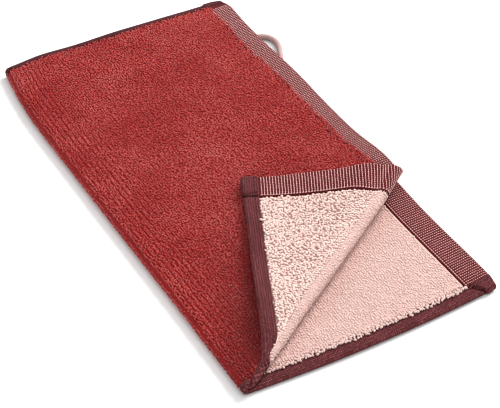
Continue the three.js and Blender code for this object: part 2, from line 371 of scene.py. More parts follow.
def outward(verts, faces):
    """Flips every face if the closed mesh's signed volume is negative."""
    v = verts - verts.mean(0)
    vol = 0.0
    for k in range(1, faces.shape[1] - 1):
        a, b, c = v[faces[:, 0]], v[faces[:, k]], v[faces[:, k + 1]]
        vol += np.einsum("ij,ij->i", a, np.cross(b, c)).sum()
    return faces if vol > 0 else faces[:, ::-1]


def tubes(centres, side, radii, sides, flat=1.0, caps=True, twist=0.0):
    """Many short closed tubes at once. centres (N, K, 3), side (N, 3) a vector
    across each tube, radii (N, K). Returns verts, faces, ring and side index."""
    N, K, _ = centres.shape
    tan = np.gradient(centres, axis=1)
    tan /= np.linalg.norm(tan, axis=2, keepdims=True) + 1e-12
    b = side[:, None, :] - tan * np.einsum("ni,nki->nk", side, tan)[..., None]
    b /= np.linalg.norm(b, axis=2, keepdims=True) + 1e-12
    r = np.cross(tan, b)
    ang = np.arange(sides) / sides * 2 * math.pi + math.pi / sides
    ca, sa = np.cos(ang), np.sin(ang)
    rad = radii[:, :, None, None]
    verts = centres[:, :, None, :] + rad * (
        b[:, :, None, :] * ca[None, None, :, None] + r[:, :, None, :] * (flat * sa)[None, None, :, None])
    verts = verts.reshape(-1, 3)
    base = (np.arange(N) * K * sides)[:, None, None]
    k = np.arange(K - 1)[None, :, None]
    j = np.arange(sides)[None, None, :]
    jn = (j + 1) % sides
    a = base + k * sides + j
    d = base + k * sides + jn
    c = base + (k + 1) * sides + jn
    e = base + (k + 1) * sides + j
    quads = np.stack([a, d, c, e], -1).reshape(-1, 4)
    out = [quads]
    ku = np.broadcast_to(k, a.shape)
    ju = np.broadcast_to(j, a.shape)
    tube_of = np.broadcast_to(np.arange(N)[:, None, None], a.shape)
    corner = np.stack([
        np.stack([ju, ku], -1), np.stack([ju + 1, ku], -1),
        np.stack([ju + 1, ku + 1], -1), np.stack([ju, ku + 1], -1)], -2).reshape(-1, 4, 2)
    own = [np.repeat(tube_of.reshape(-1), 4)]
    cc = [corner.reshape(-1, 2)]
    if caps:
        first = (np.arange(N) * K * sides)[:, None] + np.arange(sides)[None, ::-1]
        last = (np.arange(N) * K * sides + (K - 1) * sides)[:, None] + np.arange(sides)[None, :]
        out += [first, last]
        sq = np.stack([np.arange(sides), np.zeros(sides)], 1)
        own += [np.repeat(np.arange(N), sides)] * 2
        cc += [np.tile(sq[::-1] * [1, 0] + [0, 0.25], (N, 1)), np.tile(sq + [0, K - 1.25], (N, 1))]
    own = np.concatenate(own)
    cc = np.concatenate(cc)
    return verts, out, own, cc


def tube_piece(name, centres, side, radii, sides, mat, cloth_uv, flat=1.0):
    """One piece of many tubes, with the flat position of each, the place along
    and round the yarn, and a bake map with a cell of its own for each tube."""
    N, K, _ = centres.shape
    verts, faces, own, cc = tubes(centres, side, radii, sides, flat)
    if N:
        v0 = verts.reshape(N, K, sides, 3)
        # outward test on the first tube
        q = faces[0][: (K - 1) * sides]
        vv = verts - v0[0].reshape(-1, 3).mean(0)
        n = np.cross(vv[q[:, 1]] - vv[q[:, 0]], vv[q[:, 2]] - vv[q[:, 0]])
        mids = vv[q].mean(1)
        ring = q[:, 0] // sides % K
        out = mids - (centres[0][ring] + centres[0][np.minimum(ring + 1, K - 1)]) / 2 + v0[0].reshape(-1, 3).mean(0)
        if np.einsum("ij,ij->i", n, out).sum() < 0:
            cc_list, start = [], 0
            for i, f in enumerate(faces):
                m = f.shape[1]
                block = cc[start:start + len(f) * m].reshape(-1, m, 2)[:, ::-1].reshape(-1, 2)
                cc_list.append(block)
                start += len(f) * m
                faces[i] = f[:, ::-1]
            cc = np.concatenate(cc_list)
    uv = cloth_uv[own] / 10.0
    yarn = np.stack([cc[:, 0] / sides, cc[:, 1] / (K - 1)], 1)
    cells = int(math.ceil(math.sqrt(max(N, 1))))
    cell = np.stack([own % cells, own // cells], 1)
    bake = (cell + 0.08 + 0.84 * np.clip(yarn, 0, 1)) / cells
    return new_mesh(name, verts, faces, uv=uv, yarn=yarn, bake=bake, mat=mat)


# ---------------------------------------------------------------------------
# Materials
# ---------------------------------------------------------------------------
def srgb(r, g, b):
    def f(c):
        c = c / 255.0
        return c / 12.92 if c <= 0.04045 else ((c + 0.055) / 1.055) ** 2.4
    return (f(r), f(g), f(b), 1.0)


class Nodes:
    def __init__(self, name, roughness=0.9, sheen=0.25, sheen_tint=(1, 1, 1, 1), specular=0.25):
        self.mat = bpy.data.materials.new(name)
        self.mat.use_nodes = True
        self.t = self.mat.node_tree
        self.t.nodes.clear()
        self.out = self.add("ShaderNodeOutputMaterial")
        self.bsdf = self.add("ShaderNodeBsdfPrincipled")
        self.t.links.new(self.bsdf.outputs["BSDF"], self.out.inputs["Surface"])
        self.bsdf.inputs["Roughness"].default_value = roughness
        self.bsdf.inputs["Sheen Weight"].default_value = sheen
        self.bsdf.inputs["Sheen Roughness"].default_value = 0.55
        self.bsdf.inputs["Sheen Tint"].default_value = sheen_tint
        self.bsdf.inputs["Specular IOR Level"].default_value = specular

    def add(self, kind, **kw):
        n = self.t.nodes.new(kind)
        for k, v in kw.items():
            setattr(n, k, v)
        return n

    def link(self, a, b):
        self.t.links.new(a, b)

    def uvmap(self, name):
        n = self.add("ShaderNodeUVMap")
        n.uv_map = name
        return n.outputs["UV"]

    def math(self, op, a, b=None, c=None, clamp=False):
        n = self.add("ShaderNodeMath", operation=op, use_clamp=clamp)
        for i, x in enumerate((a, b, c)):
            if x is None:
                continue
            if isinstance(x, (int, float)):
                n.inputs[i].default_value = x
            else:
                self.link(x, n.inputs[i])
        return n.outputs[0]

    def noise(self, vec, scale, detail=3.0, rough=0.55):
        n = self.add("ShaderNodeTexNoise")
        n.inputs["Scale"].default_value = scale
        n.inputs["Detail"].default_value = detail
        n.inputs["Roughness"].default_value = rough
        self.link(vec, n.inputs["Vector"])
        return n.outputs["Fac"]

    def white(self, vec):
        n = self.add("ShaderNodeTexWhiteNoise", noise_dimensions="2D")
        self.link(vec, n.inputs["Vector"])
        return n.outputs["Value"]

    def ramp(self, fac, stops):
        n = self.add("ShaderNodeValToRGB")
        e = n.color_ramp.elements
        while len(e) < len(stops):
            e.new(0.5)
        for i, (pos, col) in enumerate(stops):
            e[i].position = pos
            e[i].color = col
        self.link(fac, n.inputs["Fac"])
        return n.outputs["Color"]

    def mix(self, fac, a, b, mode="MIX"):
        n = self.add("ShaderNodeMix", data_type="RGBA", blend_type=mode)
        for key, x in ((0, fac), (6, a), (7, b)):
            if isinstance(x, (int, float)):
                n.inputs[key].default_value = x
            elif isinstance(x, tuple):
                n.inputs[key].default_value = x
            else:
                self.link(x, n.inputs[key])
        return n.outputs[2]

    def split(self, vec):
        n = self.add("ShaderNodeSeparateXYZ")
        self.link(vec, n.inputs[0])
        return n.outputs[0], n.outputs[1]

    def colour(self, c):
        self.link(c, self.bsdf.inputs["Base Color"])

    def rough(self, lo, hi, fac):
        n = self.add("ShaderNodeMapRange")
        self.link(fac, n.inputs["Value"])
        n.inputs["To Min"].default_value = lo
        n.inputs["To Max"].default_value = hi
        self.link(n.outputs[0], self.bsdf.inputs["Roughness"])

    def bump(self, height, strength, distance):
        n = self.add("ShaderNodeBump")
        n.inputs["Strength"].default_value = strength
        n.inputs["Distance"].default_value = distance
        self.link(height, n.inputs["Height"])
        self.link(n.outputs["Normal"], self.bsdf.inputs["Normal"])


def pile_material(name, dark, base, light, blotch=0.5, shade=None):
    """Cotton loop yarn: painted shade darkens each loop towards its root, each loop its own shade, soft wide
    blotches over the cloth, painted shade along a fold of the cloth if shade is given, and the yarn's two plies as a
    bump."""
    m = Nodes(name, roughness=0.95, sheen=0.22, sheen_tint=(1.0, 0.7, 0.68, 1.0), specular=0.06)
    cloth, yarn = m.uvmap("cloth"), m.uvmap("yarn")
    yx, yy = m.split(yarn)
    # 0 at the roots, 1 at the top of the loop: painted shade, the colour darker towards the roots
    arch = m.math("SINE", m.math("MULTIPLY", yy, math.pi))
    one = m.white(cloth)
    wide = m.noise(cloth, 0.22, 4.0, 0.6)
    fine = m.noise(cloth, 2.2, 2.0)
    f = m.math("ADD", m.math("MULTIPLY_ADD", arch, 0.42, 0.16), m.math("MULTIPLY", one, 0.26))
    f = m.math("ADD", f, m.math("MULTIPLY", m.math("SUBTRACT", wide, 0.5), blotch))
    f = m.math("ADD", f, m.math("MULTIPLY", m.math("SUBTRACT", fine, 0.5), 0.25), clamp=True)
    col = m.ramp(f, [(0.0, dark), (0.55, base), (1.0, light)])
    if shade:
        # painted shade: the pile's colour is darkened along a fold of the cloth, where shade falls
        cx, cy = m.split(cloth)
        if shade == "flap":           # beside the turned-back corner's edge
            # painted shadow cast by the turned-back corner, beside its edge
            x = m.math("MULTIPLY_ADD", cx, -10.0, -CF - CX0)
            y = m.math("MULTIPLY", cy, 10.0)
            c2, s2 = CA * CA - SA * SA, 2 * CA * SA
            d = m.math("SUBTRACT", m.math("MULTIPLY", y, c2), m.math("MULTIPLY", x, s2))
            al = m.math("ADD", m.math("MULTIPLY", x, c2), m.math("MULTIPLY", y, s2))
            fade = m.math("SUBTRACT", 1.15, m.math("MULTIPLY", al, 0.0065), clamp=True)
            amount = 0.6
        else:                         # beside the crease, on the lower half
            # painted shade beside the crease, tinted like the light bounced inside it
            x = m.math("MULTIPLY_ADD", cx, 10.0, -CF - CX0)
            y = m.math("MULTIPLY", cy, 10.0)
            d = m.math("SUBTRACT", m.math("MULTIPLY", x, SA), m.math("MULTIPLY", y, CA))
            fade = m.math("GREATER_THAN", cx, 0.0)
            amount = 0.22
        q = m.math("DIVIDE", m.math("ABSOLUTE", d), 16.0 if shade == "flap" else 6.0)
        k = m.math("EXPONENT", m.math("MULTIPLY", m.math("MULTIPLY", q, q), -1.0))
        k = m.math("MULTIPLY", m.math("MULTIPLY", k, fade), amount)
        # dark red for the painted shadow by the corner, dusky pink for the painted shade by the crease
        painted_shade_colour = srgb(84, 4, 10) if shade == "flap" else srgb(196, 138, 128)
        col = m.mix(k, col, painted_shade_colour)
    m.colour(col)
    ply = m.math("SINE", m.math("ADD", m.math("MULTIPLY", yx, 4 * math.pi), m.math("MULTIPLY", yy, 46.0)))
    fibre = m.noise(yarn, 30.0, 2.0)
    m.bump(m.math("ADD", ply, m.math("MULTIPLY", fibre, 0.8)), 0.35, 0.00012)
    return m.mat


def base_material(name, dark, base):
    """The ground weave between the loops."""
    m = Nodes(name, roughness=0.95, sheen=0.1, specular=0.1)
    cloth = m.uvmap("cloth")
    x, y = m.split(cloth)
    a = m.math("SINE", m.math("MULTIPLY", x, 2 * math.pi / 0.07))
    b = m.math("SINE", m.math("MULTIPLY", y, 2 * math.pi / 0.06))
    w = m.math("MULTIPLY", a, b)
    n = m.noise(cloth, 1.6, 3.0)
    f = m.math("ADD", m.math("MULTIPLY", w, 0.25), n, clamp=True)
    m.colour(m.ramp(f, [(0.2, dark), (0.9, base)]))
    m.bump(w, 0.5, 0.00015)
    return m.mat


def hem_material(name, dark, base, light, pitch_u=0.055, pitch_v=0.06, along="u", seam_shadow=False):
    """Flat-woven tape: fine plain weave, lengthwise ribs picked out by a shade,
    and uneven dye."""
    m = Nodes(name, roughness=0.85, sheen=0.04, sheen_tint=(1.0, 0.7, 0.72, 1.0), specular=0.12)
    cloth = m.uvmap("cloth")
    x, y = m.split(cloth)
    a = m.math("SINE", m.math("MULTIPLY", x, 2 * math.pi / pitch_u))
    b = m.math("SINE", m.math("MULTIPLY", y, 2 * math.pi / pitch_v))
    weave = m.math("MULTIPLY", a, b)
    rib_axis = y if along == "u" else x
    rib = m.math("SINE", m.math("MULTIPLY", rib_axis, 2 * math.pi / 0.13))
    n = m.noise(cloth, 1.1, 4.0, 0.6)
    fleck = m.noise(cloth, 9.0, 2.0)
    f = m.math("ADD", m.math("MULTIPLY", weave, 0.2), m.math("MULTIPLY", rib, 0.08))
    f = m.math("ADD", f, m.math("ADD", m.math("MULTIPLY", n, 0.4), m.math("MULTIPLY_ADD", fleck, 0.9, -0.16)), clamp=True)
    col = m.ramp(f, [(0.15, dark), (0.52, base), (0.9, light)])
    if seam_shadow:
        # the stitched-down end of the lap, sunk, with a dark line painted along it: painted shadow of the step where
        # the lap ends
        d = m.math("SUBTRACT", m.math("ABSOLUTE", x), (HALF - END_W - 0.3 + CF) / 10.0)
        skew = m.math("MULTIPLY", m.math("GREATER_THAN", x, 0.0), m.math("SUBTRACT", SIDE_W / 10.0, y))
        d = m.math("SUBTRACT", d, m.math("MULTIPLY", m.math("MAXIMUM", skew, 0.0), 0.85))
        k = m.math("LESS_THAN", m.math("ABSOLUTE", d), 0.06)
        col = m.mix(m.math("MULTIPLY", k, 0.8), col, srgb(22, 4, 6))
    m.colour(col)
    m.bump(m.math("ADD", weave, m.math("MULTIPLY", rib, 0.6)), 0.6, 0.00012)
    return m.mat


def thread_material(name, dark, base, light, twist=60.0):
    m = Nodes(name, roughness=0.8, sheen=0.05, specular=0.2)
    cloth, yarn = m.uvmap("cloth"), m.uvmap("yarn")
    yx, yy = m.split(yarn)
    one = m.white(cloth)
    # painted shade: the thread's colour darkens towards both its ends, where it goes into the cloth
    arch = m.math("SINE", m.math("MULTIPLY", yy, math.pi))
    ply = m.math("SINE", m.math("ADD", m.math("MULTIPLY", yx, 4 * math.pi), m.math("MULTIPLY", yy, twist)))
    f = m.math("ADD", m.math("MULTIPLY", arch, 0.45), m.math("MULTIPLY", one, 0.4))
    f = m.math("ADD", f, m.math("MULTIPLY", ply, 0.1), clamp=True)
    m.colour(m.ramp(f, [(0.0, dark), (0.5, base), (1.0, light)]))
    m.bump(ply, 0.5, 0.00008)
    return m.mat


# the red pile carries painted shadow beside the turned-back corner; the lying pale pile carries painted shade beside
# the crease
RED_PILE = pile_material("terry_red_pile", srgb(114, 9, 12), srgb(168, 39, 38), srgb(208, 100, 96), 0.85, shade="flap")
PINK_PILE = pile_material("terry_pale_pile", srgb(206, 174, 167), srgb(240, 210, 201), srgb(252, 232, 225), 0.2)
PINK_FLAT = pile_material("terry_pale_pile_lying", srgb(211, 179, 171), srgb(225, 194, 186), srgb(237, 211, 204), 0.35, shade="crease")
PINK_CLOSE = base_material("terry_pale_ground_close", srgb(198, 160, 152), srgb(222, 186, 178))
RED_BASE = base_material("terry_red_ground", srgb(128, 14, 15), srgb(158, 30, 30))
# painted shade: the corner's ground is darker than its yarn, so the gaps between its loops read as dark pits
PINK_GROUND_PIT_SHADE = base_material("terry_pale_ground", srgb(160, 122, 115), srgb(202, 164, 156))
HEM = hem_material("hem_maroon", srgb(40, 8, 11), srgb(84, 32, 35), srgb(142, 82, 84), 0.125, 0.105, seam_shadow=True)
# painted shade: the far edges' hem is a darker copy of the same tape
HEM_FAR_PAINTED_SHADE = hem_material("hem_maroon_far", srgb(34, 8, 11), srgb(70, 24, 28), srgb(112, 58, 61), 0.125, 0.105, seam_shadow=True)
BAND = hem_material("hem_band_ground", srgb(52, 8, 11), srgb(84, 19, 23), srgb(118, 40, 44), 0.08, 0.08, along="v")
FLOAT = thread_material("hem_band_floats", srgb(176, 100, 98), srgb(228, 164, 161), srgb(248, 208, 203))
STITCH_PALE = thread_material("stitching_pale", srgb(150, 90, 90), srgb(212, 160, 158), srgb(236, 196, 192))
STITCH_DARK = thread_material("stitching_maroon", srgb(48, 16, 20), srgb(86, 36, 42), srgb(120, 66, 70))


# ---------------------------------------------------------------------------
# Camera, floor and lights
# ---------------------------------------------------------------------------
scene = bpy.context.scene
cam_data = bpy.data.cameras.new("camera")
cam = bpy.data.objects.new("camera", cam_data)
scene.collection.objects.link(cam)
scene.camera = cam
F_PX, EL, AZ, TX, TY, DIST, ROLL = 1542.0, math.radians(41.12), math.radians(-29.54), 70.0, 122.6, 855.3, math.radians(0.1)
back = np.array([math.sin(AZ) * math.cos(EL), -math.cos(AZ) * math.cos(EL), math.sin(EL)])
right = np.array([math.cos(AZ), math.sin(AZ), 0.0])
up = np.cross(back, right)
right, up = right * math.cos(ROLL) + up * math.sin(ROLL), -right * math.sin(ROLL) + up * math.cos(ROLL)
loc = to_row(np.array([TX, TY, 0.0]) + back * DIST)
cam.matrix_world = Matrix((
    (right[0], up[0], back[0], loc[0]),
    (right[1], up[1], back[1], loc[1]),
    (right[2], up[2], back[2], loc[2]),
    (0, 0, 0, 1)))
cam_data.sensor_fit = "HORIZONTAL"
cam_data.sensor_width = 36.0
cam_data.lens = F_PX * 36.0 / 500.0
cam_data.clip_start = 0.01
cam_data.clip_end = 20.0


def area(name, position, target, size, power, colour=(1, 1, 1)):
    d = bpy.data.lights.new(name, "AREA")
    d.shape = "DISK"
    d.size = size
    d.energy = power
    d.color = colour
    o = bpy.data.objects.new(name, d)
    scene.collection.objects.link(o)
    o.location = position
    o.rotation_euler = (Vector(target) - Vector(position)).to_track_quat("-Z", "Y").to_euler()
    return o


area("key", (1.2, 0.36, 1.05), (0.0, 0.0, 0.0), 0.85, 33.0, (1.0, 0.985, 0.97))
area("fill", (-1.1, -0.7, 0.55), (0.0, 0.0, 0.0), 1.2, 5.0, (1.0, 1.0, 1.0))
area("top", (0.1, -0.3, 1.7), (0.0, 0.0, 0.0), 1.6, 10.0, (0.98, 0.99, 1.0))

world = bpy.data.worlds.new("studio")
scene.world = world
world.use_nodes = True
wn = world.node_tree.nodes
wn["Background"].inputs["Color"].default_value = (1.0, 1.0, 1.0, 1.0)
wn["Background"].inputs["Strength"].default_value = 0.53

floor_me = bpy.data.meshes.new("floor")
S = 6.0
floor_me.from_pydata([(-S, -S, 0), (S, -S, 0), (S, S, 0), (-S, S, 0)], [], [(0, 1, 2, 3)])
floor = bpy.data.objects.new("floor", floor_me)
scene.collection.objects.link(floor)
fm = bpy.data.materials.new("floor_white")
fm.use_nodes = True
fb = fm.node_tree.nodes["Principled BSDF"]
fb.inputs["Base Color"].default_value = (0.9, 0.9, 0.9, 1)
fb.inputs["Roughness"].default_value = 0.9
fb.inputs["Specular IOR Level"].default_value = 0.1
floor_me.materials.append(fm)
floor.location.z = -0.0002

scene.cycles.filter_width = 1.25
scene.view_settings.view_transform = "Standard"
scene.view_settings.look = "None"
scene.view_settings.exposure = 0.0


# ---------------------------------------------------------------------------
# The ground cloth of each layer
# ---------------------------------------------------------------------------
EDGE = 1.3                       # the ground stops inside the folded hems
STEP = 1.5


def rows(v0, v1, step):
    return np.linspace(v0, v1, max(2, int(round((v1 - v0) / step)) + 1))


vs = rows(EDGE, LENGTH - EDGE, STEP)
xs = rows(0.0, HALF - EDGE, STEP)
U, V = np.meshgrid(u_low(xs), vs, indexing="ij")
cloth_lower = slab("cloth_lower", U, V, RED_BASE, PINK_CLOSE)

x_body = np.minimum(x_at(s_roll, vs), HALF - EDGE)
t = np.linspace(0, 1, len(xs))
U = u_up(np.maximum(x_body, 0.05)[None, :] * t[:, None])
V = np.broadcast_to(vs, U.shape)
cloth_upper = slab("cloth_upper", U, V, RED_BASE, PINK_CLOSE)

vf = vs[x_at(lambda p: -s_roll(p), vs) < HALF - EDGE - 0.4]
xf0 = np.maximum(x_at(lambda p: -s_roll(p), vf), 0.05)
t = np.linspace(0, 1, 70)
U = u_up(xf0[None, :] + (HALF - EDGE - xf0)[None, :] * t[:, None])
V = np.broadcast_to(vf, U.shape)
cloth_flap = slab("cloth_flap", U, V, RED_BASE, PINK_GROUND_PIT_SHADE)

vr = vs[x_at(s_roll, vs) < HALF - EDGE - 0.1]
xr0 = np.maximum(x_at(s_roll, vr), 0.05)
xr1 = np.minimum(np.maximum(x_at(lambda p: -s_roll(p), vr), 0.1), HALF - EDGE)
t = np.linspace(0, 1, 15)
U = u_up(xr0[None, :] + (xr1 - xr0)[None, :] * t[:, None])
V = np.broadcast_to(vr, U.shape)
wide = int(np.searchsorted(vr, 146.0 * SA))
cloth_crease = slab("cloth_crease", U[:, :wide + 1], V[:, :wide + 1], RED_BASE, PINK_CLOSE)
cloth_crease_end = slab("cloth_crease_end", U[:, wide:], V[:, wide:], RED_BASE, PINK_CLOSE)

U, V = np.meshgrid(np.linspace(-CF, CF, 15), vs, indexing="ij")
cloth_fold = slab("cloth_fold", U, V, RED_BASE, PINK_CLOSE)


# ---------------------------------------------------------------------------
# Hems: a folded, flat-woven strip swept along each edge
# ---------------------------------------------------------------------------
def side_section():
    """(w, h) round the plain hem: w in from the outer edge, h out of face A.
    The hem is turned to face B, and shows only its edge on face A."""
    b = []
    b += [(SIDE_W, -0.3), (SIDE_W, -0.9), (SIDE_W - 0.25, -1.3)]
    for w in np.linspace(SIDE_W - 0.6, 1.1, 36):
        ridge = 0.5 + 0.5 * math.cos(2 * math.pi * (w - 1.1) / 1.36)
        h = 1.46 + 0.07 * ridge
        if abs(w - (SIDE_W - 2.6)) < 0.35:
            h -= 0.22                      # the stitch row pulls the hem in
        b.append((w, -h))
    b += [(0.62, -1.3), (0.28, -1.02), (0.06, -0.55), (0.0, 0.0), (0.07, 0.6), (0.35, 1.05),
          (0.9, 1.34), (2.2, 1.5), (3.5, 1.45), (4.2, 1.1), (4.5, 0.42)]
    b += [(SIDE_W, 0.42)]
    return np.array(b)


def end_section():
    b = [(END_W + 1.3, -0.3), (END_W + 1.3, -0.5), (END_W + 0.1, -0.52), (END_W, -0.8)]
    for w in np.linspace(END_W - 0.3, 1.2, 34):
        h = 0.86 + 0.07 * math.sin(math.pi * w / END_W)
        if abs(w - (END_W - 1.6)) < 0.24:
            h -= 0.2
        b.append((w, -h))
    b += [(0.6, -0.84), (0.2, -0.6), (0.0, 0.0), (0.2, 0.6), (0.6, 0.84)]
    for w in np.linspace(1.2, A_BAND, 22):
        h = 0.86 + 0.07 * math.sin(math.pi * w / END_W)
        b.append((w, h))
    b += [(A_BAND + 0.8, 0.7), (A_BAND + 1.6, 0.4), (END_W, 0.3)]
    return np.array(b)


A_BAND = 12.6                    # the pile stands this far from the edge on face A


def pile_edge(v):
    """Face A: how far the pile stops from the open edge, less near the crease."""
    return 11.9 - 2.9 * smooth((LENGTH - v) / 210.0) + 0.35 * np.sin(v / 9.0) + 0.25 * np.sin(v / 3.7 + 1)


SIDE, END = side_section(), end_section()


def sweep(name, along, W, H, place, mat):
    """along (L,), W and H (L, S): closed section at each step. place(a, w, h)
    gives flat u, v for each point. The ends are closed."""
    L, Sn = W.shape
    u, v = place(along, W)
    verts = surf(u, v, H).reshape(-1, 3)
    i, j = np.meshgrid(np.arange(L - 1), np.arange(Sn), indexing="ij")
    jn = (j + 1) % Sn
    f = np.stack([i * Sn + j, i * Sn + jn, (i + 1) * Sn + jn, (i + 1) * Sn + j], -1).reshape(-1, 4)
    # end caps: fans from each end's middle
    c0, c1 = verts[:Sn].mean(0), verts[-Sn:].mean(0)
    verts = np.concatenate([verts, [c0, c1]])
    k = np.arange(Sn)
    kn = (k + 1) % Sn
    n = L * Sn
    cap0 = np.stack([kn, k, np.full(Sn, n)], 1)
    cap1 = np.stack([(L - 1) * Sn + k, (L - 1) * Sn + kn, np.full(Sn, n + 1)], 1)
    vv = verts - verts.mean(0)
    vol = 0.0
    for face in (f[:, [0, 1, 2]], f[:, [0, 2, 3]], cap0, cap1):
        a, b, c = vv[face[:, 0]], vv[face[:, 1]], vv[face[:, 2]]
        vol += np.einsum("ij,ij->i", a, np.cross(b, c)).sum()
    caps = np.concatenate([cap0, cap1])
    if vol < 0:
        f, caps = f[:, ::-1], caps[:, ::-1]
    flat = np.stack([u.ravel(), v.ravel()], 1) / 10.0
    flat = np.concatenate([flat, flat[:1], flat[-1:]])
    # the two faces of the hem don't share a pattern
    uv = per_corner([f, caps], flat)
    return new_mesh(name, verts, [f, caps], uv=uv, mat=mat)


def lap(x):
    """Where the side hem laps over the end hem it is thicker, past a step."""
    return smooth((x - (HALF - END_W + 0.4)) / 0.9)


def side_hem(name, half, edge, x_from, x_to, step=1.2, mat=None):
    """edge 'near' or 'far'; x_from and x_to give x on each section point's w."""
    W0, H0 = SIDE[:, 0], SIDE[:, 1]
    L = max(3, int(np.max(np.abs(x_to(W0) - x_from(W0))) / step) + 1)
    tau = np.linspace(0, 1, L)
    X = x_from(W0)[None, :] * (1 - tau)[:, None] + x_to(W0)[None, :] * tau[:, None]
    W = np.broadcast_to(W0, X.shape).copy()
    H = np.broadcast_to(H0, X.shape).copy()
    # the lower half's lap is turned in at a slant
    Xs = X - (0.85 * (SIDE_W - np.clip(W, 0, SIDE_W)) if half == "low" and edge == "near" else 0.0)
    k = lap(Xs)
    H = np.where(H < -0.25, H * (1 + 0.75 * k), H)
    notch = np.exp(-((Xs - (HALF - END_W - 0.3)) / 0.7) ** 2)
    H = np.where(H < -0.5, H * (1 - 0.7 * notch), H)
    # round the strip's free end off
    e = np.clip((HALF - X) / 1.3, 0, 1)
    shut = np.sqrt(1 - (1 - e) ** 2)
    H = H * (0.25 + 0.75 * shut)
    cut = (1 - shut) * 1.2 - 1.2 * k
    W = np.where(W < 4, W + cut * (1 - W / 4), W)
    place = (lambda a, w: (u_low(X) if half == "low" else u_up(X), w if edge == "near" else LENGTH - w))
    return sweep(name, tau, W, H, place, mat or HEM)


flatline = lambda x: (lambda w: np.full_like(w, x))
hem_near_lower = side_hem("hem_near_lower", "low", "near", flatline(0.0), flatline(HALF))
hem_far_lower = side_hem("hem_far_lower", "low", "far", flatline(0.0), flatline(HALF), mat=HEM_FAR_PAINTED_SHADE)
hem_far_upper = side_hem("hem_far_upper", "up", "far", flatline(0.0), flatline(HALF), mat=HEM_FAR_PAINTED_SHADE)
on_body = lambda w: np.maximum(x_at(s_roll, w), 0.3)
on_flap = lambda w: np.maximum(x_at(lambda p: -s_roll(p), w), 0.6)
hem_near_stub = side_hem("hem_near_upper", "up", "near", flatline(0.0), on_body, step=0.8)
hem_crease_side = side_hem("hem_near_crease", "up", "near", on_body, on_flap, step=0.35)
hem_near_flap = side_hem("hem_near_flap", "up", "near", on_flap, flatline(HALF))


def fold_hem(name, edge):
    W0, H0 = SIDE[:, 0], SIDE[:, 1]
    L = 17
    uu = np.linspace(-CF, CF, L)
    W = np.broadcast_to(W0, (L, len(W0)))
    H = np.broadcast_to(H0, (L, len(W0)))
    place = lambda a, w: (np.broadcast_to(uu[:, None], w.shape), w if edge == "near" else LENGTH - w)
    return sweep(name, uu, W, H, place, HEM_FAR_PAINTED_SHADE if edge == "far" else HEM)


hem_near_fold = fold_hem("hem_near_fold", "near")
hem_far_fold = fold_hem("hem_far_fold", "far")


def end_hem(name, half, v_from, v_to, step=1.6):
    """v_from and v_to give v on each section point's distance from the edge."""
    W0, H0 = END[:, 0], END[:, 1]
    L = max(3, int(np.max(np.abs(v_to(W0) - v_from(W0))) / step) + 1)
    tau = np.linspace(0, 1, L)
    Vv = v_from(W0)[None, :] * (1 - tau)[:, None] + v_to(W0)[None, :] * tau[:, None]
    W = np.broadcast_to(W0, Vv.shape)
    H = np.broadcast_to(H0, Vv.shape)
    place = lambda a, w: (u_low(HALF - w) if half == "low" else u_up(HALF - w), Vv)
    return sweep(name, tau, W, H, place, BAND)


def v_at(s_of, x):
    """v on column x where the crease distance s equals s_of(p)."""
    v = np.full_like(x, 60.0)
    for _ in range(60):
        p = (x - CX0) * CA + v * SA
        v = 0.5 * v + 0.5 * (s_of(p) + (x - CX0) * SA) / CA
    return v


V0 = 1.9
end_lower = end_hem("end_hem_lower_band", "low", flatline(V0), flatline(LENGTH - V0))
end_upper = end_hem("end_hem_upper_band", "up", lambda w: v_at(s_roll, HALF - w), flatline(LENGTH - V0))
end_crease = end_hem("end_hem_crease_band", "up", lambda w: v_at(lambda p: -s_roll(p), HALF - w), lambda w: v_at(s_roll, HALF - w), step=0.4)
end_flap = end_hem("end_hem_flap_band", "up", flatline(V0), lambda w: v_at(lambda p: -s_roll(p), HALF - w))


# ---------------------------------------------------------------------------
# Which region of the upper layer a flat point is in
# ---------------------------------------------------------------------------
def region(u, v):
    """0 lower, 1 half fold, 2 upper, 3 crease, 4 flap"""
    x = -u - CF
    p, s = to_crease(x, v)
    sc = s_roll(p)
    r = np.where(s >= sc, 2, np.where(s <= -sc, 4, 3))
    return np.where(u >= CF, 0, np.where(u > -CF, 1, r))


NAMES = ["lower", "fold", "upper", "crease", "flap"]


# ---------------------------------------------------------------------------
# Floats of the patterned bands, on both faces
# ---------------------------------------------------------------------------
COL, ROW = 1.6, 1.27


def floats():
    v = np.arange(3.6, LENGTH - 3.0, COL)
    w = np.arange(1.1, END_W - 0.5, ROW)
    out = []
    for half in (1, -1):
        for face in (1, -1):
            Vg, Wg = np.meshgrid(v, w, indexing="ij")
            Vg, Wg = Vg.ravel(), Wg.ravel()
            if face < 0:              # the side hem laps over the band on face B
                keep = (Vg > SIDE_W + 0.6) & (Vg < LENGTH - SIDE_W - 0.6)
                # a plain strip by the stitch row, wider on the lower half
                keep &= Wg < END_W - (1.6 if half > 0 else 1.0)
            else:
                keep = (Wg < pile_edge(Vg) + 0.8) & (Vg > 8.0) & (Vg < LENGTH - 8.0)
            Vg, Wg = Vg[keep], Wg[keep]
            x = HALF - Wg
            u = u_low(x) if half > 0 else u_up(x)
            out.append(np.stack([u, Vg, np.full_like(u, face), Wg], 1))
    return np.concatenate(out)


FL = floats()
FLR = region(FL[:, 0], FL[:, 1])


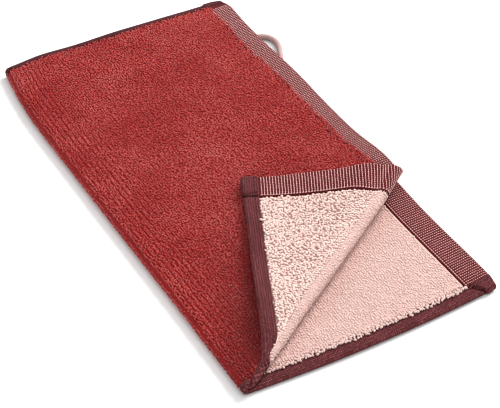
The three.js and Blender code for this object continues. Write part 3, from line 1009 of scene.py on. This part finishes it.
def float_piece(name, sel, mat):
    d = FL[sel]
    r = np.random.default_rng(5)
    n = len(d)
    face = d[:, 2]
    p, pu, pv, nn = frame_at(d[:, 0] , d[:, 1] + r.normal(0, 0.05, n))
    tight = (face < 0) & (d[:, 0] < 0)
    long = np.where(tight, 1.34, np.where(face > 0, 1.0, 0.9)) * r.uniform(0.94, 1.04, n)
    k = np.linspace(-0.5, 0.5, 5)
    prof = np.array([0.25, 0.9, 1.0, 0.9, 0.25])
    hgt = np.array([-0.08, 0.13, 0.19, 0.13, -0.08])
    base = 0.86
    c = p[:, None, :] + pu[:, None, :] * (long[:, None] * k[None, :])[..., None] \
        + nn[:, None, :] * (face[:, None] * (base + hgt[None, :]))[..., None]
    wide = np.where(tight, 0.36, np.where(face > 0, 0.4, 0.34)) * r.uniform(0.9, 1.08, n)
    rad = wide[:, None] * (0.25 + 0.75 * prof[None, :])
    return tube_piece(name, c, pv, rad, 4, mat, d[:, :2], flat=0.62)


float_obs = {}
for i, nm in enumerate(NAMES):
    sel = FLR == i
    if sel.any():
        float_obs[nm] = float_piece("band_floats_" + nm, sel, FLOAT)


# ---------------------------------------------------------------------------
# Stitch rows on face B
# ---------------------------------------------------------------------------
def stitches(which):
    out = []
    if which == "end":
        v = np.arange(SIDE_W + 1.2, LENGTH - SIDE_W - 1.0, 1.6)
        for half in (1, -1):
            x = np.full_like(v, HALF - END_W + 0.75)
            out.append(np.stack([u_low(x) if half > 0 else u_up(x), v, np.zeros_like(v)], 1))
    else:
        x = np.arange(2.0, HALF - 3.0, 2.6)
        for half in (1, -1):
            for v0 in (SIDE_W - 2.6, LENGTH - SIDE_W + 2.6):
                out.append(np.stack([u_low(x) if half > 0 else u_up(x), np.full_like(x, v0), np.ones_like(x)], 1))
    return np.concatenate(out)


def stitch_piece(name, d, mat, rad=0.26, long=2.0):
    n = len(d)
    r = np.random.default_rng(9)
    p, pu, pv, nn = frame_at(d[:, 0], d[:, 1])
    along = np.where(d[:, 2:3] > 0.5, pu, pv)
    side = np.where(d[:, 2:3] > 0.5, pv, pu)
    k = np.linspace(-0.5, 0.5, 6)
    hh = np.array([-0.28, 0.04, 0.12, 0.12, 0.04, -0.28])
    base = np.where(d[:, 2] > 0.5, 1.38, 0.82)
    lng = long * r.uniform(0.94, 1.06, n)
    x_of = np.where(d[:, 0] > 0, d[:, 0] - CF, -d[:, 0] - CF)
    base = base * np.where(d[:, 2] > 0.5, 1 + 0.75 * lap(x_of), 1)
    c = p[:, None, :] + along[:, None, :] * (lng[:, None] * k[None, :])[..., None] \
        - nn[:, None, :] * (base[:, None] + hh[None, :])[..., None]
    radii = rad * np.array([0.5, 1, 1.05, 1.05, 1, 0.5])[None, :] * r.uniform(0.92, 1.06, n)[:, None]
    return tube_piece(name, c, side, radii, 5, mat, d[:, :2])


stitch_obs = {}
SE = stitches("end")
SER = region(SE[:, 0], SE[:, 1])
SS = stitches("side")
SSR = region(SS[:, 0], SS[:, 1])
for i, nm in enumerate(NAMES):
    if (SER == i).any():
        stitch_obs["end_" + nm] = stitch_piece("stitches_end_" + nm, SE[SER == i], STITCH_PALE, rad=0.34, long=1.15)
    near = (SSR == i) & (SS[:, 1] < 150)
    far = (SSR == i) & (SS[:, 1] > 150)
    if near.any():
        stitch_obs["near_" + nm] = stitch_piece("stitches_near_" + nm, SS[near], STITCH_DARK)
    if far.any():
        stitch_obs["far_" + nm] = stitch_piece("stitches_far_" + nm, SS[far], STITCH_DARK)


# ---------------------------------------------------------------------------
# Terry pile: real loops of yarn, in rows along the fold
# ---------------------------------------------------------------------------
def loop_points(face, dense):
    """Flat positions of the loops on one face (+1 A, -1 B)."""
    row, pitch = (1.42, 1.04) if dense else (2.5, 1.9)
    if face > 0:
        v_lo, lim = 4.9, HALF + CF - 7.0
    else:
        v_lo, lim = SIDE_W + 0.4, HALF - END_W + CF - 1.35
    half = np.arange(row / 2, lim, row)
    us = np.concatenate([-half[::-1], half])
    vv = np.arange(v_lo, LENGTH - v_lo, pitch)
    Ug, Vg = np.meshgrid(us, vv, indexing="ij")
    Vg = Vg + (np.arange(len(us)) % 2)[:, None] * pitch / 2
    r = np.random.default_rng(100 + face + (10 if dense else 0))
    # rows stay regular by the fold, where the cloth is stretched
    loose = 0.35 + 0.65 * smooth((np.abs(Ug) - 14) / 24)
    if face > 0 and dense:            # and lie in pairs there
        pair = np.where(np.arange(len(us)) % 2 == 0, 1.0, -1.0)[:, None]
        Ug = Ug + 0.2 * pair * (1 - smooth((np.abs(Ug) - 10) / 22))
    Ug = Ug + r.normal(0, 0.2, Ug.shape) * loose
    Vg = Vg + r.normal(0, 0.22, Vg.shape) * loose
    Ug, Vg = Ug.ravel(), Vg.ravel()
    if face > 0:
        keep = HALF + CF - np.abs(Ug) > pile_edge(Vg)
        Ug, Vg = Ug[keep], Vg[keep]
    return Ug, Vg, r


def loops(name, u, v, face, dense, mat, seed, height=1.5, width=0.62, radius=0.43, wild=0.9, comb=0.0):
    r = np.random.default_rng(seed)
    n = len(u)
    K, sides = (6, 4) if dense else (5, 3)
    p, pu, pv, nn = frame_at(u, v)
    nn = nn * face
    psi = r.normal(0.0, wild, n) * (0.35 + 0.65 * smooth((np.abs(u) - 8) / 20))
    if comb:
        # combed across the crease where the cloth was bent
        p_c, s_c = to_crease(-u - CF, v)
        k = np.exp(-((np.abs(s_c) - 19.0) / 9.0) ** 2) * comb
        psi = psi * (1 - k) + k * (math.atan2(SA, CA) + r.normal(0, 0.2, n))
    tdir = pv * np.cos(psi)[:, None] + pu * np.sin(psi)[:, None]
    bdir = np.cross(nn, tdir)
    lean = r.normal(0, 0.42, n)[:, None] * bdir + r.normal(0, 0.25, n)[:, None] * tdir
    on_hem = (v < SIDE_W + 0.1) & (face < 0)
    g = ground_h(u, v, face)
    hgt = height * r.uniform(0.84, 1.12, n) - (g - BASE_H)
    wid = width * r.uniform(0.8, 1.2, n)
    a = np.linspace(0, math.pi, K)
    ca, sa = np.cos(a), np.sin(a)
    rise = sa ** 0.8
    # loops that stand on a hem start from its top, and fall outwards
    foot = np.where(on_hem, 1.25, 0.0) + g - 0.12
    lean = lean - on_hem[:, None] * 0.5 * pv
    c = p[:, None, :] + tdir[:, None, :] * (0.5 * wid[:, None] * ca[None, :] * (1 + 0.25 * sa[None, :]))[..., None] \
        + nn[:, None, :] * (foot[:, None] + (hgt - radius)[:, None] * rise[None, :])[..., None] \
        + lean[:, None, :] * (hgt[:, None] * rise[None, :] ** 1.5)[..., None]
    rad = radius * r.uniform(0.88, 1.12, n)[:, None] * (0.82 + 0.26 * sa[None, :])
    if not dense:
        rad = rad * 1.2
    return tube_piece(name, c, bdir, rad, sides, mat, np.stack([u, v], 1))


pile_obs = {}
MAX_TUBES = 4200


def add_pile(label, u, v, face, dense, mat, seed, **kw):
    """Splits a pile so that no piece is too big, by bands along the towel."""
    if not len(u):
        return
    limit = MAX_TUBES if dense else 7500
    parts = max(1, int(math.ceil(len(u) / limit)))
    order = np.argsort(v, kind="stable")
    pile_obs[label] = []
    for k, idx in enumerate(np.array_split(order, parts)):
        nm = f"pile_{label}" + (f"_{k + 1}" if parts > 1 else "")
        pile_obs[label].append(loops(nm, u[idx], v[idx], face, dense, mat, seed + k, **kw))


def seen_red(u, v, reg):
    return np.isin(reg, (1, 2, 3))


# face A, red: dense on the upper half, the fold and the crease
u, v, _ = loop_points(1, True)
reg = region(u, v)
wide_end = to_crease(-u - CF, v)[0] > 146.0
for nm, i in (("upper", 2), ("fold", 1), ("crease", 3)):
    m = (reg == i) & ~(wide_end & (reg == 3))
    add_pile("red_" + nm, u[m], v[m], 1, True, RED_PILE, 1000 + 50 * i)
m = (reg == 3) & wide_end
add_pile("red_crease_end", u[m], v[m], 1, True, RED_PILE, 1180)
u, v, _ = loop_points(1, False)
reg = region(u, v)
for nm, i in (("lower", 0), ("flap", 4)):
    m = reg == i
    add_pile("red_" + nm, u[m], v[m], 1, False, RED_PILE, 2000 + 50 * i, height=1.2)

# face B, pale: dense on the corner, the crease and where the corner uncovers
# the lower half
def uncovered(u, v):
    x = u - CF
    p, s = to_crease(x, v)
    return s < s_roll(p) + 3.0


u, v, _ = loop_points(-1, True)
ju = np.arange(CF + 1.0, CF + HALF - END_W - 1.0, 1.15)
hang_r = np.random.default_rng(77)
hang_u = np.concatenate([ju, ju + 0.55])
hang_v = SIDE_W - np.concatenate([np.full(len(ju), 0.5), np.full(len(ju), 1.5)]) + hang_r.normal(0, 0.3, 2 * len(ju))
hang_u = hang_u + hang_r.normal(0, 0.25, len(hang_u))
reg = region(u, v)
m = reg == 4
pits = np.random.default_rng(55)
s_here = np.abs(to_crease(-u - CF, v)[1])
gone = pits.random(len(u)) < 0.03 + 0.07 * np.exp(-((s_here - 19.0) / 8.0) ** 2)
m = m & ~gone
add_pile("pale_flap", u[m], v[m], -1, True, PINK_PILE, 3000, height=1.62, width=0.7, radius=0.5, comb=0.85)
wide_end = to_crease(-u - CF, v)[0] > 146.0
m = (reg == 3) & ~wide_end
add_pile("pale_crease", u[m], v[m], -1, True, PINK_FLAT, 3100, height=1.22, width=1.1, radius=0.56)
m = (reg == 3) & wide_end
add_pile("pale_crease_end", u[m], v[m], -1, True, PINK_FLAT, 3150, height=1.22, width=1.1, radius=0.56)
groove = np.abs(v - SIDE_W - 3.4 - 0.4 * np.sin(u / 13.0)) < 0.45
m = (reg == 0) & uncovered(u, v) & ~(groove & (pits.random(len(u)) < 0.75))
keep = uncovered(hang_u, hang_v)
add_pile("pale_lower_open", np.concatenate([u[m], hang_u[keep]]), np.concatenate([v[m], hang_v[keep]]), -1, True, PINK_FLAT,
         3200, height=1.3, width=0.8, radius=0.52, wild=0.7)
u, v, _ = loop_points(-1, False)
reg = region(u, v)
m = (reg == 0) & ~uncovered(u, v)
add_pile("pale_lower", u[m], v[m], -1, False, PINK_FLAT, 3300, height=1.3, width=1.0)
m = reg == 2
add_pile("pale_upper", u[m], v[m], -1, False, PINK_FLAT, 3400, height=1.3, width=1.0)
m = reg == 1
add_pile("pale_fold", u[m], v[m], -1, False, PINK_PILE, 3500, height=0.7, radius=0.25)


# ---------------------------------------------------------------------------
# Hanging loop: a three-ply cord, out of the end hem and back into it
# ---------------------------------------------------------------------------
(clo, chi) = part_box("hanging_loop_cord")
CORD_D = 0.0034
# the cord's centre: mm past the open edge, and along the fold; its two ends
# go on a little way into the end hem
ROUTE = [(-1.6, 259.0), (1.0, 258.4), (5.2, 257.0), (8.3, 253.6), (9.6, 248.0),
         (8.6, 242.5), (6.6, 238.0), (4.0, 232.4), (2.0, 228.6), (-0.8, 224.2)]


def through(points, per):
    """Centripetal Catmull-Rom curve through the points."""
    p = [np.array(q, float) for q in points]
    p = [2 * p[0] - p[1]] + p + [2 * p[-1] - p[-2]]
    out = []
    for a, b, c, d in zip(p, p[1:], p[2:], p[3:]):
        t1 = np.linalg.norm(b - a) ** 0.5
        t2 = t1 + np.linalg.norm(c - b) ** 0.5
        t3 = t2 + np.linalg.norm(d - c) ** 0.5
        for t in np.linspace(t1, t2, per, endpoint=False):
            a1 = a * (t1 - t) / t1 + b * t / t1
            a2 = b * (t2 - t) / (t2 - t1) + c * (t - t1) / (t2 - t1)
            a3 = c * (t3 - t) / (t3 - t2) + d * (t - t2) / (t3 - t2)
            b1 = a1 * (t2 - t) / t2 + a2 * t / t2
            b2 = a2 * (t3 - t) / (t3 - t1) + a3 * (t - t1) / (t3 - t1)
            out.append(b1 * (t2 - t) / (t2 - t1) + b2 * (t - t1) / (t2 - t1))
    return np.array(out + [p[-2]])


route = through(ROUTE, 11)
cpath = np.stack([HALF + route[:, 0], route[:, 1], np.full(len(route), CORD_D * 500 + 0.05)], 1)
fine = 96
tt = np.linspace(0, len(cpath) - 1, fine)
cl = np.stack([np.interp(tt, np.arange(len(cpath)), cpath[:, i]) for i in range(3)], 1)
for _ in range(4):
    cl[1:-1] = (cl[:-2] + 2 * cl[1:-1] + cl[2:]) / 4
seg = np.linalg.norm(np.diff(cl, axis=0), axis=1)
arc = np.concatenate([[0], np.cumsum(seg)])
tan = np.gradient(cl, axis=0)
tan /= np.linalg.norm(tan, axis=1, keepdims=True)
upv = np.array([0, 0, 1.0])
sd = np.cross(tan, upv)
sd /= np.linalg.norm(sd, axis=1, keepdims=True)
nr = np.cross(sd, tan)
NS = 18
al = np.arange(NS) / NS * 2 * math.pi
tw = 2 * math.pi * arc / 6.5
rr = CORD_D * 500 * (0.955 + 0.045 * np.abs(np.cos(1.5 * (al[None, :] - tw[:, None]))) ** 0.7)
ring = cl[:, None, :] + rr[..., None] * (sd[:, None, :] * np.cos(al)[None, :, None] + nr[:, None, :] * np.sin(al)[None, :, None])
cv = ring.reshape(-1, 3)
i, j = np.meshgrid(np.arange(fine - 1), np.arange(NS), indexing="ij")
jn = (j + 1) % NS
cf_ = np.stack([i * NS + j, i * NS + jn, (i + 1) * NS + jn, (i + 1) * NS + j], -1).reshape(-1, 4)
cv = np.concatenate([cv, [cl[0], cl[-1]]])
k = np.arange(NS)
kn = (k + 1) % NS
caps = np.concatenate([np.stack([kn, k, np.full(NS, fine * NS)], 1),
                       np.stack([(fine - 1) * NS + k, (fine - 1) * NS + kn, np.full(NS, fine * NS + 1)], 1)])
vv = cv - cv.mean(0)
vol = 0.0
for f3 in (cf_[:, [0, 1, 2]], cf_[:, [0, 2, 3]], caps):
    vol += np.einsum("ij,ij->i", vv[f3[:, 0]], np.cross(vv[f3[:, 1]], vv[f3[:, 2]])).sum()
if vol < 0:
    cf_, caps = cf_[:, ::-1], caps[:, ::-1]
flat_uv = np.stack([np.repeat(arc / 10, NS), np.tile(al / (2 * math.pi), fine)], 1)
flat_uv = np.concatenate([flat_uv, flat_uv[:2]])


def cord_material():
    m = Nodes("cord_cotton", roughness=0.9, sheen=0.08, specular=0.1)
    cloth = m.uvmap("cloth")
    x, y = m.split(cloth)
    # painted shade: the grooves between the three plies are coloured darker
    ply = m.math("ABSOLUTE", m.math("COSINE", m.math("SUBTRACT", m.math("MULTIPLY", y, 3 * math.pi),
                 m.math("MULTIPLY", x, 1.5 * 2 * math.pi / 0.65))))
    strand = m.math("SINE", m.math("ADD", m.math("MULTIPLY", y, 36.0), m.math("MULTIPLY", x, 60.0)))
    n = m.noise(cloth, 4.0, 3.0)
    f = m.math("ADD", m.math("MULTIPLY", ply, 0.35), m.math("MULTIPLY", n, 0.5))
    f = m.math("ADD", f, m.math("MULTIPLY", strand, 0.06), clamp=True)
    m.colour(m.ramp(f, [(0.1, srgb(150, 116, 112)), (0.6, srgb(192, 160, 155)), (1.0, srgb(214, 188, 183))]))
    m.bump(strand, 0.5, 0.0001)
    return m.mat


cord_ob = new_mesh("hanging_cord", cv, [cf_, caps], uv=per_corner([cf_, caps], flat_uv), mat=cord_material())

# bar tack over the cord's ends, inside the fold
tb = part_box("loop_bar_tack")
ty0, ty1 = tb[0][1] * 1000 - FY, tb[1][1] * 1000 - FY
tx = (tb[0][0] + tb[1][0]) * 500 - FX
n_t = 44
yy = np.linspace(ty0 + 0.4, ty1 - 0.4, n_t)
k = np.linspace(-1, 1, 5)
tc = np.stack([np.broadcast_to(tx + k[None, :] * 0.8, (n_t, 5)),
               np.broadcast_to(yy[:, None], (n_t, 5)) + 0.12 * k[None, :],
               ZL + 0.95 + 0.32 * (1 - k[None, :] ** 2) * np.ones((n_t, 1))], -1)
tack_ob = tube_piece("loop_tack_stitches", tc, np.tile([0.0, 1.0, 0.0], (n_t, 1)), np.full((n_t, 5), 0.3), 5,
                     STITCH_DARK, np.stack([np.full(n_t, u_low(tx)), yy], 1))


# ---------------------------------------------------------------------------
# Bodies and nodes
# ---------------------------------------------------------------------------
def ride(obs, body):
    for o in obs if isinstance(obs, (list, tuple)) else [obs]:
        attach(o, body)


def bend_fold(obs, z0, z1):
    """Pieces round the half fold, from the lower half to the upper half: bakes each one's transform into its mesh,
    with no bend. z0 and z1, heights in mm, are not used.
    """
    for o in obs if isinstance(obs, (list, tuple)) else [obs]:
        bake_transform(o)


_ax = joint["corner_fold"]["axis"]
CREASE_RISE = _ax[2] / math.hypot(_ax[0], _ax[1])
CREASE_UP = np.array([-CREASE_RISE * CA, -CREASE_RISE * SA, 1.0])
CREASE_UP = CREASE_UP / np.linalg.norm(CREASE_UP)


def bend_crease(obs, z0, z1):
    for o in obs if isinstance(obs, (list, tuple)) else [obs]:
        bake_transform(o)


ride([cloth_lower, hem_near_lower, hem_far_lower, end_lower, tack_ob], "lower_half")
ride([cloth_upper, hem_near_stub, hem_far_upper, end_upper], "upper_half")
ride([cloth_flap, hem_near_flap, end_flap], "corner_flap")
ride(cord_ob, "hanging_loop")
bend_fold(cloth_fold, 1.5, 5.3)
bend_fold([hem_near_fold, hem_far_fold], 1.6, 5.0)
bend_crease(cloth_crease, 4.8, 10.0)
bend_crease(cloth_crease_end, 3.2, 11.0)
bend_crease(hem_crease_side, 5.0, 7.2)
bend_crease(end_crease, 2.6, 12.6)
# height spans in mm for each pile round a bend: wider for a pile outside the bend than for one inside it
SPAN = {"red_fold": (0.5, 6.0), "pale_fold": (2.6, 4.2), "red_crease": (5.8, 9.3), "pale_crease": (4.2, 11.8),
        "red_crease_end": (4.4, 9.4), "pale_crease_end": (2.0, 12.6)}


def place(obs, nm, label=""):
    if nm == "lower":
        ride(obs, "lower_half")
    elif nm == "upper":
        ride(obs, "upper_half")
    elif nm == "flap":
        ride(obs, "corner_flap")
    elif nm == "fold":
        bend_fold(obs, *SPAN.get(label, (1.5, 5.0)))
    elif label.startswith("near"):
        bend_crease(obs, 5.0, 7.2)
    elif label in SPAN:
        bend_crease(obs, *SPAN[label])
    else:
        bend_crease(obs, 2.6, 12.6)


for nm, o in float_obs.items():
    place(o, nm)
for key, o in stitch_obs.items():
    place(o, key.split("_")[1], key)
for label, obs in pile_obs.items():
    nm = label.split("_")[1]
    place(obs, nm, label)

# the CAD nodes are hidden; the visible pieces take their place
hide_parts("terry_lower")
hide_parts("terry_upper")
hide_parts("terry_flap")
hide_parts("fold_terry")
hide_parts("crease_terry")
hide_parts("side_hem_near_lower")
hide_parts("side_hem_far_lower")
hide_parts("side_hem_far_upper")
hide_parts("side_hem_near_upper")
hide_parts("side_hem_flap")
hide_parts("crease_side_hem")
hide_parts("fold_side_hem_near")
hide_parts("fold_side_hem_far")
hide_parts("end_hem_lower")
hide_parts("end_hem_upper")
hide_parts("end_hem_flap")
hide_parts("crease_end_hem")
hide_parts("stitching_end_lower")
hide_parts("stitching_end_upper")
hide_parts("stitching_end_flap")
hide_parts("stitching_near_lower")
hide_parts("stitching_far_lower")
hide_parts("stitching_far_upper")
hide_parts("stitching_side_flap")
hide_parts("loop_bar_tack")
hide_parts("hanging_loop_cord")


def all_of(*labels):
    out = []
    for label in labels:
        out += pile_obs.get(label, [])
    return out


all_of("red_lower", "pale_lower", "pale_lower_open", "red_fold", "pale_fold")
all_of("red_upper", "pale_upper", "red_crease", "pale_crease")
all_of("red_flap", "pale_flap", "red_crease_end", "pale_crease_end")
